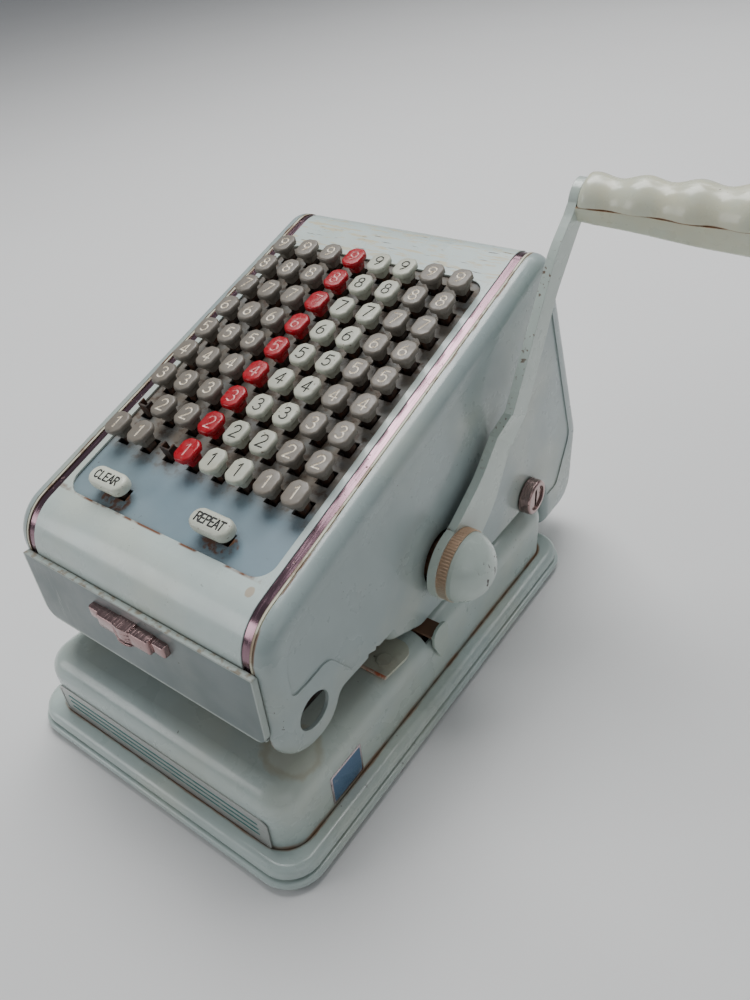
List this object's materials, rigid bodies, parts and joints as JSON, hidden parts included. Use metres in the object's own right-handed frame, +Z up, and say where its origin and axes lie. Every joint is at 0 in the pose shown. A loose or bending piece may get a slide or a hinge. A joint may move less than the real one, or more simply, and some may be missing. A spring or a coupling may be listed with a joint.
{
  "type": "keyboard cheque writer",
  "caption": "Desk cheque writer: a sloping bank of numbered keys, function keys, a drop-down front door, a side crank with a finger grip and a printing throat over a rolled-edge base.",
  "frame": {"origin": "point on the table under the centre of the base", "axes": "+X to the operator's right, +Y away from the operator, +Z up"},
  "size_m": [0.318, 0.349, 0.2779],
  "materials": {
    "mint_enamel": "glossy, aged",
    "door_enamel": "satin",
    "deck_enamel": "satin, dusty",
    "table_enamel": "satin",
    "arm_enamel": "glossy, chipped",
    "lever_enamel": "satin",
    "bright_trim": "polished",
    "nameplate_metal": "satin",
    "plain_steel": "machined",
    "dark_steel": "satin black",
    "rusty_steel": "oxidised steel",
    "bush_bronze": "oiled",
    "collar_copper": "knurled, worn",
    "foot_rubber": "matte",
    "ink_felt": "inked",
    "grip_plastic": "glossy",
    "key_grey": "satin",
    "key_red": "glossy",
    "key_white": "satin",
    "key_cream": "satin"
  },
  "bodies": {
    "base": {"base_pan": "mint_enamel", "base_shell": "mint_enamel", "bottom_plate": "dark_steel", "rubber_feet": "foot_rubber", "front_nameplate": "nameplate_metal", "cheque_table": "table_enamel", "side_cover_right": "mint_enamel", "side_cover_left": "mint_enamel", "top_cover": "mint_enamel", "trim_strip_right": "bright_trim", "trim_strip_left": "bright_trim", "keyboard_deck": "deck_enamel", "key_guide_plate": "rusty_steel", "door_hinge_pin": "plain_steel", "frame_left": "dark_steel", "frame_right": "dark_steel", "frame_tie_rods": "plain_steel", "rear_stand": "dark_steel", "head_cross_plates": "dark_steel", "shaft_bushes": "bush_bronze", "crank_return_spring": "rusty_steel", "type_wheel_shaft": "plain_steel", "ink_roller_spindle": "plain_steel", "release_lever_pin": "plain_steel"},
    "door": {"front_door": "door_enamel", "door_pull": "bright_trim"},
    "crank": {"crank_shaft": "plain_steel", "crank_arm": "arm_enamel", "knurled_collar": "collar_copper", "hub_cap": "arm_enamel", "drive_cams": "plain_steel", "grip_upper": "grip_plastic", "grip_lower": "grip_plastic", "grip_spindle": "plain_steel"},
    "platen": {"platen_bar": "plain_steel"},
    "type_wheel_set": {"type_wheels": "plain_steel"},
    "selector_bars": {"selector_racks": "plain_steel"},
    "inker": {"ink_roller": "ink_felt"},
    "knob": {"lock_knob": "bright_trim"},
    "lever": {"release_lever": "lever_enamel"},
    "clear_key": {"clear_key_cap": "key_cream", "clear_key_stem": "rusty_steel"},
    "repeat_key": {"repeat_key_cap": "key_cream", "repeat_key_stem": "rusty_steel"},
    "key_column_1": {"key_caps_1": "key_grey", "key_stems_1": "rusty_steel"},
    "key_column_2": {"key_caps_2": "key_grey", "key_stems_2": "rusty_steel"},
    "key_column_3": {"key_caps_3": "key_grey", "key_stems_3": "rusty_steel"},
    "key_column_4": {"key_caps_4": "key_red", "key_stems_4": "rusty_steel"},
    "key_column_5": {"key_caps_5": "key_white", "key_stems_5": "rusty_steel"},
    "key_column_6": {"key_caps_6": "key_white", "key_stems_6": "rusty_steel"},
    "key_column_7": {"key_caps_7": "key_grey", "key_stems_7": "rusty_steel"},
    "key_column_8": {"key_caps_8": "key_grey", "key_stems_8": "rusty_steel"}
  },
  "joints": [
    {"name": "door_hinge", "type": "hinge", "parent": "base", "child": "door", "pos_m": [0, -0.1262, 0.087], "axis": [1, 0, 0], "range_deg": [0, 95]},
    {"name": "crank_pull", "type": "hinge", "parent": "base", "child": "crank", "pos_m": [0, 0.012, 0.098], "axis": [1, 0, 0], "range_deg": [0, 80], "stiffness_Nm_per_rad": 1.6, "springref_deg": -28.65},
    {"name": "platen_lift", "type": "slide", "parent": "base", "child": "platen", "axis": [0, 0, 1], "range_m": [0, 0.007]},
    {"name": "type_wheels_turn", "type": "hinge", "parent": "base", "child": "type_wheel_set", "pos_m": [0, -0.072, 0.0815], "axis": [1, 0, 0], "range_deg": [-72, 0]},
    {"name": "selector_bars_slide", "type": "slide", "parent": "base", "child": "selector_bars", "axis": [0, -0.9511, -0.309], "range_m": [0, 0.012]},
    {"name": "ink_roller_spin", "type": "hinge", "parent": "base", "child": "inker", "pos_m": [0, -0.103, 0.0885], "axis": [1, 0, 0], "continuous": true},
    {"name": "lock_knob_turn", "type": "hinge", "parent": "base", "child": "knob", "pos_m": [0.09, 0.1178, 0.0722], "axis": [1, 0, 0], "range_deg": [0, 90]},
    {"name": "release_lever_press", "type": "hinge", "parent": "base", "child": "lever", "pos_m": [0.06, -0.002, 0.042], "axis": [0, 1, 0], "range_deg": [0, 6], "stiffness_Nm_per_rad": 0.15, "springref_deg": -14.32},
    {"name": "key_column_1_press", "type": "slide", "parent": "base", "child": "key_column_1", "axis": [0, 0.309, -0.9511], "range_m": [0, 0.003], "stiffness_N_per_m": 500, "springref_m": -0.004},
    {"name": "key_column_2_press", "type": "slide", "parent": "base", "child": "key_column_2", "axis": [0, 0.309, -0.9511], "range_m": [0, 0.003], "stiffness_N_per_m": 500, "springref_m": -0.004},
    {"name": "key_column_3_press", "type": "slide", "parent": "base", "child": "key_column_3", "axis": [0, 0.309, -0.9511], "range_m": [0, 0.003], "stiffness_N_per_m": 500, "springref_m": -0.004},
    {"name": "key_column_4_press", "type": "slide", "parent": "base", "child": "key_column_4", "axis": [0, 0.309, -0.9511], "range_m": [0, 0.003], "stiffness_N_per_m": 500, "springref_m": -0.004},
    {"name": "key_column_5_press", "type": "slide", "parent": "base", "child": "key_column_5", "axis": [0, 0.309, -0.9511], "range_m": [0, 0.003], "stiffness_N_per_m": 500, "springref_m": -0.004},
    {"name": "key_column_6_press", "type": "slide", "parent": "base", "child": "key_column_6", "axis": [0, 0.309, -0.9511], "range_m": [0, 0.003], "stiffness_N_per_m": 500, "springref_m": -0.004},
    {"name": "key_column_7_press", "type": "slide", "parent": "base", "child": "key_column_7", "axis": [0, 0.309, -0.9511], "range_m": [0, 0.003], "stiffness_N_per_m": 500, "springref_m": -0.004},
    {"name": "key_column_8_press", "type": "slide", "parent": "base", "child": "key_column_8", "axis": [0, 0.309, -0.9511], "range_m": [0, 0.003], "stiffness_N_per_m": 500, "springref_m": -0.004},
    {"name": "clear_key_press", "type": "slide", "parent": "base", "child": "clear_key", "axis": [0, 0.309, -0.9511], "range_m": [0, 0.003], "stiffness_N_per_m": 250, "springref_m": -0.004},
    {"name": "repeat_key_press", "type": "slide", "parent": "base", "child": "repeat_key", "axis": [0, 0.309, -0.9511], "range_m": [0, 0.003], "stiffness_N_per_m": 250, "springref_m": -0.004}
  ],
  "couplings": [
    {"joint": "platen_lift", "follows": "crank_pull", "m_per_rad": 0.0050062},
    {"joint": "type_wheels_turn", "follows": "crank_pull", "ratio": -0.9},
    {"joint": "selector_bars_slide", "follows": "crank_pull", "m_per_rad": 0.0085872}
  ]
}
